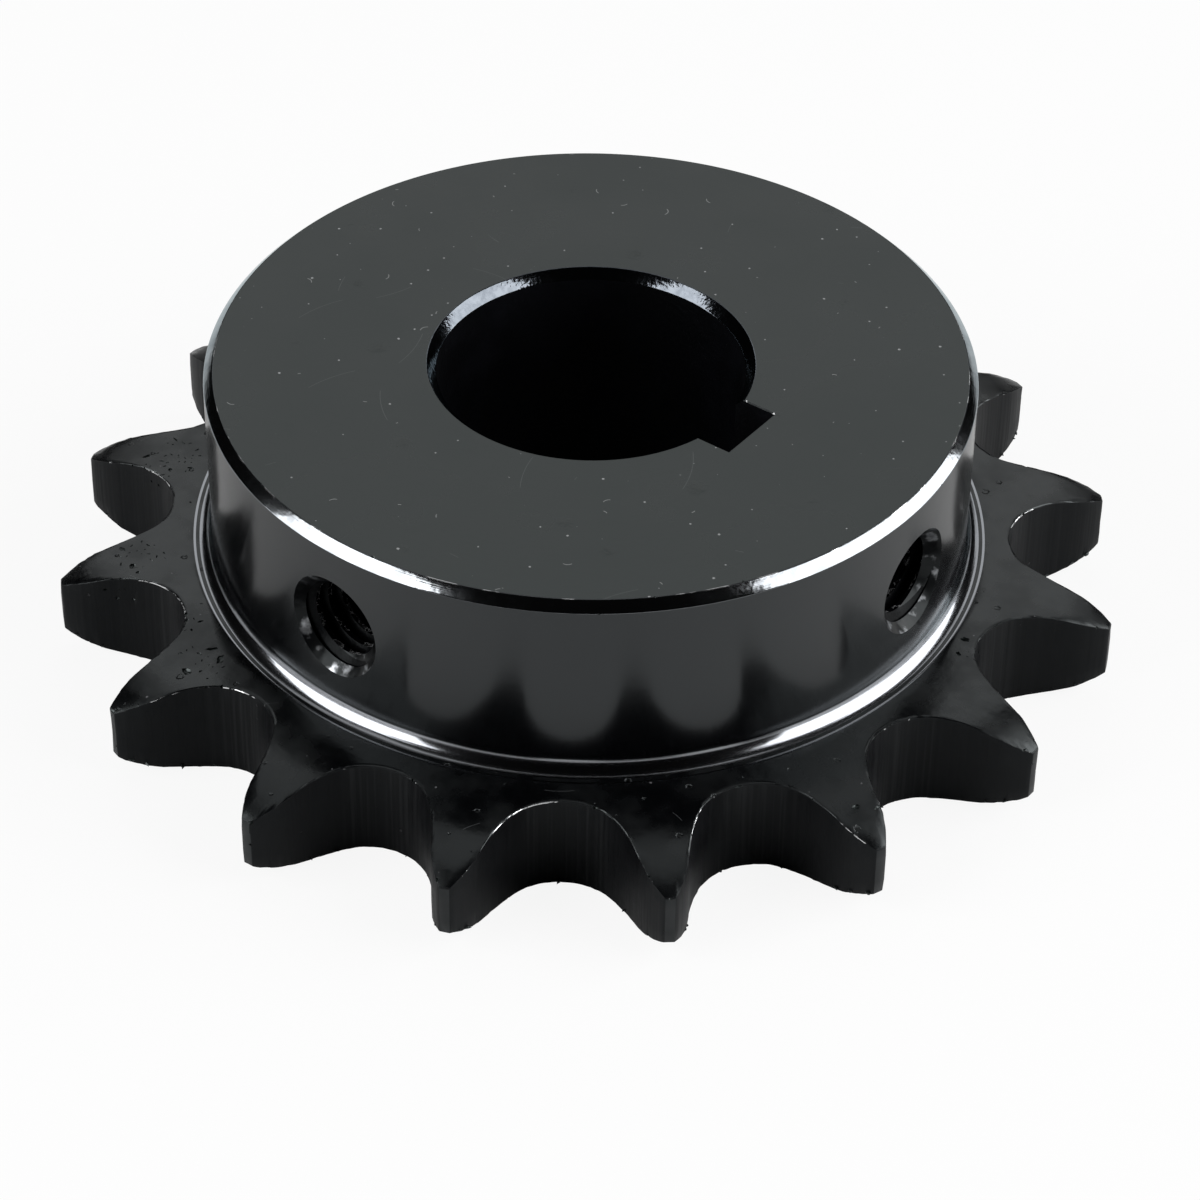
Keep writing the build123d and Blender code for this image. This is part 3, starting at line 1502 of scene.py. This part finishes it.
FINISHES = (
    Finish(
        Zone.HUB_FACE, colour=(0.0075, 0.0092, 0.0089), roughness=0.27, specular=0.46,
        sheen=(0.86, 0.97, 0.97), marks=(
            Clouds(11 * MM, (0.012, 0.015, 0.0145)),
            Rings(0.5 * MM, 0.003 * MM),
            Grain(2.5 * MM, 0.012 * MM),
            Scratches(7.0 * MM, 5.0 * MM, 0.04 * MM, 0.3, (0.05, 0.055, 0.055)),
            Scratches(4.3 * MM, 0.9 * MM, 0.06 * MM, 0.3, (0.2, 0.205, 0.205), 0.9),
            Specks(2.4 * MM, 0.14 * MM, 0.35, (0.25, 0.255, 0.26), level=True),
            Specks(
                8.0 * MM, 1.1 * MM, 0.6, (0.006, 0.0075, 0.007), 0.035 * MM, level=True, softness=1.0,
            ),
        ),
    ),
    Finish(
        Zone.HUB_SIDE, colour=(0.001, 0.0011, 0.0014), roughness=0.135, drawn_out=0.9, specular=0.55,
        sheen=(0.9, 0.97, 1.0), marks=(
            Rings(0.35 * MM, 0.0015 * MM, 14 * MM),
            Grain(3.0 * MM, 0.012 * MM),
            Specks(4.0 * MM, 0.12 * MM, 0.2, (0.2, 0.2, 0.21)),
        ),
    ),
    Finish(
        Zone.CHAMFER, colour=(0.3, 0.315, 0.33), roughness=0.09, metallic=1.0, marks=(
            Clouds(1.6 * MM, (0.15, 0.162, 0.176), dulling=0.04),
            Rings(0.11 * MM, 0.006 * MM, 22 * MM),
            Grain(0.6 * MM, 0.01 * MM),
            Specks(1.8 * MM, 0.16 * MM, 0.3, (0.01, 0.01, 0.01)),
        ),
    ),
    Finish(
        Zone.FILLET, colour=(0.29, 0.3, 0.32), roughness=0.15, metallic=1.0, drawn_out=0.7, marks=(
            Rings(0.2 * MM, 0.012 * MM, 30 * MM),
            Grain(1.5 * MM, 0.008 * MM),
            Specks(3.0 * MM, 0.2 * MM, 0.25, (0.01, 0.01, 0.01)),
        ),
    ),
    Finish(
        Zone.BORE_CHAMFER, colour=(0.12, 0.132, 0.148), roughness=0.09, metallic=1.0, marks=(
            Clouds(0.7 * MM, (0.06, 0.068, 0.08), dulling=0.04),
            Grain(0.28 * MM, 0.016 * MM),
            Specks(0.9 * MM, 0.2 * MM, 0.35, (0.01, 0.01, 0.01)),
        ),
    ),
    Finish(
        Zone.BORE, colour=(0.0005, 0.0005, 0.0009), roughness=0.45, specular=0.12, marks=(
            Clouds(5 * MM, (0.002, 0.002, 0.0035)),
            Grain(0.45 * MM, 0.05 * MM),
        ),
    ),
    Finish(
        Zone.PLATE_SIDE, colour=(0.0008, 0.0009, 0.0012), roughness=0.21, marks=(
            Clouds(3.4 * MM, (0.0036, 0.0038, 0.0041), dulling=0.17),
            Rings(0.7 * MM, 0.006 * MM),
            Grain(0.5 * MM, 0.008 * MM),
            Grain(2.6 * MM, 0.05 * MM),
            Scratches(5.5 * MM, 3.0 * MM, 0.05 * MM, 0.3, (0.04, 0.042, 0.044)),
            Specks(2.6 * MM, 0.13 * MM, 0.25, (0.1, 0.1, 0.105), level=True),
            Specks(2.4 * MM, 0.35 * MM, 0.35, (0.001, 0.001, 0.001), -0.08 * MM, level=True),
        ),
    ),
    Finish(
        Zone.FLANK, colour=(0.0024, 0.0025, 0.003), roughness=0.38, specular=0.14, marks=(
            Clouds(3 * MM, (0.0045, 0.0047, 0.0054)),
            # Machining lines with lighter ridges near the roots: partly tool marks, partly painted
            # highlight.
            Grain(0.3 * MM, 0.02 * MM, length=25 * MM, crest_tint_and_highlight=(0.009, 0.0093, 0.01)),
            Grain(1.3 * MM, 0.06 * MM, length=30 * MM),
            Specks(1.8 * MM, 0.2 * MM, 0.25, (0.03, 0.03, 0.032), -0.05 * MM),
        ),
    ),
    Finish(
        Zone.TIP_LAND, colour=(0.010, 0.0105, 0.011), roughness=0.35, specular=0.25, marks=(
            Clouds(2 * MM, (0.022, 0.023, 0.024)),
            Grain(0.3 * MM, 0.012 * MM, length=4 * MM),
            Specks(1.1 * MM, 0.15 * MM, 0.3, (0.12, 0.12, 0.125)),
        ),
    ),
    Finish(
        Zone.TOOTH_EDGE, colour=(0.004, 0.0042, 0.0048), roughness=0.38, specular=0.2, marks=(
            Grain(0.25 * MM, 0.03 * MM),
            Rubbed(0.6 * MM, 0.12),
            KNOCKED,
        ),
    ),
    Finish(
        Zone.COUNTERSINK, colour=(0.0025, 0.0027, 0.003), roughness=0.28, specular=0.18, marks=(
            Grain(1.6 * MM, 0.12 * MM),
            Rubbed(1.5 * MM, 0.45, (0.3, 0.31, 0.325), softness=0.16),
        ),
    ),
    Finish(
        Zone.THREAD, colour=(0.0008, 0.0008, 0.0012), roughness=0.3, specular=0.06,
        marks=(Grain(0.3 * MM, 0.02 * MM),),
    ),
    Finish(
        Zone.THREAD_CREST, colour=(0.0012, 0.0012, 0.0016), roughness=0.25, specular=0.09, marks=(
            Grain(0.3 * MM, 0.02 * MM),
            Rubbed(0.8 * MM, 0.5),
        ),
    ),
    Finish(
        Zone.CHIP, colour=(0.0015, 0.0015, 0.002), roughness=0.3, specular=0.35, marks=(
            Grain(0.2 * MM, 0.02 * MM),
            Rubbed(0.5 * MM, 0.3),
            KNOCKED,
        ),
    ),
    Finish(
        Zone.RIM, colour=(0.1, 0.106, 0.112), roughness=0.2, metallic=1.0, marks=(
            Grain(0.4 * MM, 0.02 * MM),
            Rubbed(2.6 * MM, 0.5, (0.6, 0.61, 0.62)),
        ),
    ),
)


# Camera, lamps and floor

@dataclass
class Camera:
    """Camera as it stood for the photograph, fitted to the rims and the teeth of the piece."""

    azimuth: float = 36.349
    elevation: float = 39.278
    roll: float = 0.773
    distance: float = 334.27 * MM
    rightwards: float = 0.984 * MM
    upwards: float = -19.627 * MM
    lens: float = 122.39
    sensor: float = 36.0
    nearest: float = 0.01

    def build(self, middle: Vector) -> None:
        """Places the camera.

        Args:
            middle: Point of the piece that the camera's aim is counted from.
        """
        tilt = math.radians(self.elevation)
        turn = Matrix.Rotation(math.radians(self.azimuth), 3, UP)
        right = turn @ Vector((1, 0, 0))
        forward = turn @ Vector((0, math.cos(tilt), -math.sin(tilt)))
        up = right.cross(forward)
        aim = middle + right * self.rightwards + up * self.upwards
        roll = Matrix.Rotation(math.radians(-self.roll), 3, forward)
        right, up = roll @ right, roll @ up
        data = bpy.data.cameras.new("photo_camera")
        data.lens = self.lens
        data.sensor_width = self.sensor
        data.clip_start = self.nearest
        camera = new_object("photo_camera", data)
        camera.matrix_world = (
            Matrix.Translation(aim - forward * self.distance)
            @ Matrix((right, up, -forward)).transposed().to_4x4()
        )
        bpy.context.scene.camera = camera


@dataclass
class SoftBox:
    """Flat lamp with an even face, placed as seen from the camera: rightwards, back, up."""

    name: str
    low: Vector
    high: Vector
    radiance: float

    def build(self, azimuth: float) -> None:
        """Makes the lamp, facing the piece squarely across its thinnest direction.

        Args:
            azimuth: Angle that turns the camera's own directions into the piece's.
        """
        size = self.high - self.low
        middle = (self.low + self.high) / 2
        turn = Matrix.Rotation(math.radians(azimuth), 4, UP)
        thin = min(range(3), key=lambda axis: size[axis])
        facing = Vector((0, 0, 0))
        facing[thin] = -math.copysign(1, middle[thin])
        data = bpy.data.lights.new(self.name, "AREA")
        data.shape = "RECTANGLE"
        data.size, data.size_y = [size[axis] for axis in range(3) if axis != thin]
        data.energy = self.radiance * 4 * data.size * data.size_y
        lamp = new_object(self.name, data)
        aim = facing.to_track_quat("-Z", "Y").to_matrix().to_4x4()
        lamp.matrix_world = turn @ Matrix.Translation(middle) @ aim


@dataclass
class Studio:
    """White floor with painted light and shade in reflections, soft boxes and the dim room round
    them.
    """

    floor_radius: float = 6.0
    floor_white: float = 0.8
    floor_seen: float = 0.9
    # Painted light: how strongly the floor's pools glow in reflections, and their share in front of
    # the piece.
    painted_pool_strength: float = 0.4
    painted_pool_front_share: float = 0.5
    pool_apart: float = 0.05
    shade_radius: float = 0.031
    shade_edge: float = 0.1
    glow_radius: float = 0.085
    pool_radius: float = 0.12
    pool_edge: float = 0.5
    room: float = 0.004
    boxes: tuple[SoftBox, ...] = (
        SoftBox("right_soft_box", Vector((0.5, -0.38, 0.03)), Vector((0.5, 0.26, 0.66)), 3.6),
        SoftBox("left_soft_box", Vector((-0.5, -0.5, 0.05)), Vector((-0.5, 0.02, 0.64)), 3.7),
        SoftBox("back_panel", Vector((-0.75, 1.0, 0.46)), Vector((0.8, 1.0, 1.4)), 0.8),
        SoftBox("top_panel", Vector((-0.8, 0.0, 1.4)), Vector((0.5, 0.95, 1.4)), 0.52),
    )

    def floor_material(self, azimuth: float) -> bpy.types.Material:
        """Makes the floor's white, with painted pools of light and painted shade in reflections.

        Args:
            azimuth: Angle that turns the camera's own directions into the piece's.

        Returns:
            The material.
        """
        tree = NodeTree("white_floor")
        place = tree.add("TexCoord").outputs["Object"]
        radius = tree.add("VectorMath", place, operation="LENGTH").outputs["Value"]
        shade, edge = self.shade_radius, self.shade_edge
        # Beneath the piece nothing glows, so the floor's own shade shows there.
        open_floor = tree.between(radius, (1 - edge) * shade, (1 + edge) * shade)
        # Painted light: in reflections the floor glows in pools that fade out far from the piece.
        painted_pool = tree.between(radius, self.pool_edge, self.pool_radius)
        # Painted light: the pools lie beside the piece, and in front of it their glow is weaker.
        turned = tree.add("VectorRotate", place, rotation_type="Z_AXIS")
        turned.inputs["Angle"].default_value = -math.radians(azimuth)
        sideways = tree.maths("ABSOLUTE", tree.add("SeparateXYZ", turned.outputs[0]).outputs["X"])
        beside = tree.between(sideways, 0.0, self.pool_apart)
        beside = tree.maths("MULTIPLY_ADD", beside, 1 - self.painted_pool_front_share, self.painted_pool_front_share)
        # Painted shade: in reflections the glow fades out close to the piece, where its shadow would
        # fall.
        away = tree.between(radius, self.shade_radius, self.glow_radius)
        painted_pool = tree.maths("MULTIPLY", painted_pool, tree.maths("MULTIPLY", beside, away))
        path = tree.add("LightPath").outputs
        mirrored = tree.maths("MAXIMUM", path["Is Glossy Ray"], path["Is Transmission Ray"])
        painted_pool = tree.maths("MULTIPLY", painted_pool, self.painted_pool_strength)
        painted_glow_in_mirrors = tree.maths("MULTIPLY", mirrored, painted_pool)
        to_camera = tree.maths("MULTIPLY", path["Is Camera Ray"], self.floor_seen)
        glowing = tree.maths("MAXIMUM", painted_glow_in_mirrors, to_camera)
        share = tree.maths("MULTIPLY", glowing, open_floor)
        lit = tree.add("BsdfDiffuse", (*(self.floor_white,) * 3, 1)).outputs[0]
        glow = tree.add("Emission").outputs[0]
        mix = tree.add("MixShader", share, lit, glow).outputs[0]
        tree.links.new(mix, tree.nodes["Material Output"].inputs["Surface"])
        tree.nodes.remove(tree.nodes["Principled BSDF"])
        return tree.material

    def build(self, azimuth: float) -> None:
        """Lays the floor, places the lamps and sets the room's dim grey.

        Args:
            azimuth: Angle that turns the camera's own directions into the piece's.
        """
        deselect_all()
        bpy.ops.mesh.primitive_circle_add(vertices=96, radius=self.floor_radius, fill_type="NGON")
        floor = bpy.context.object
        floor.name = "floor"
        floor.data.materials.append(self.floor_material(azimuth))
        for box in self.boxes:
            box.build(azimuth)
        world = bpy.data.worlds.new("dim_room")
        world.use_nodes = True
        background = world.node_tree.nodes["Background"]
        background.inputs["Color"].default_value = (*(self.room,) * 3, 1)
        bpy.context.scene.world = world
        bpy.context.scene.view_settings.view_transform = "Standard"


def main() -> None:
    """Builds the sprocket, its studio and its camera."""
    logging.basicConfig(level=logging.INFO, format="%(message)s")
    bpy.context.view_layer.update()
    sprocket = Sprocket()
    piece = sprocket.build([finish.material() for finish in FINISHES])
    log.info("%s: %d faces", piece.name, len(piece.data.polygons))
    camera = Camera()
    camera.build(UP * sprocket.hub.length)
    Studio().build(camera.azimuth)
    log.info("camera and studio in place")
    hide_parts(NODE)
    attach(piece, BODY)


if __name__ == "__main__":
    main()
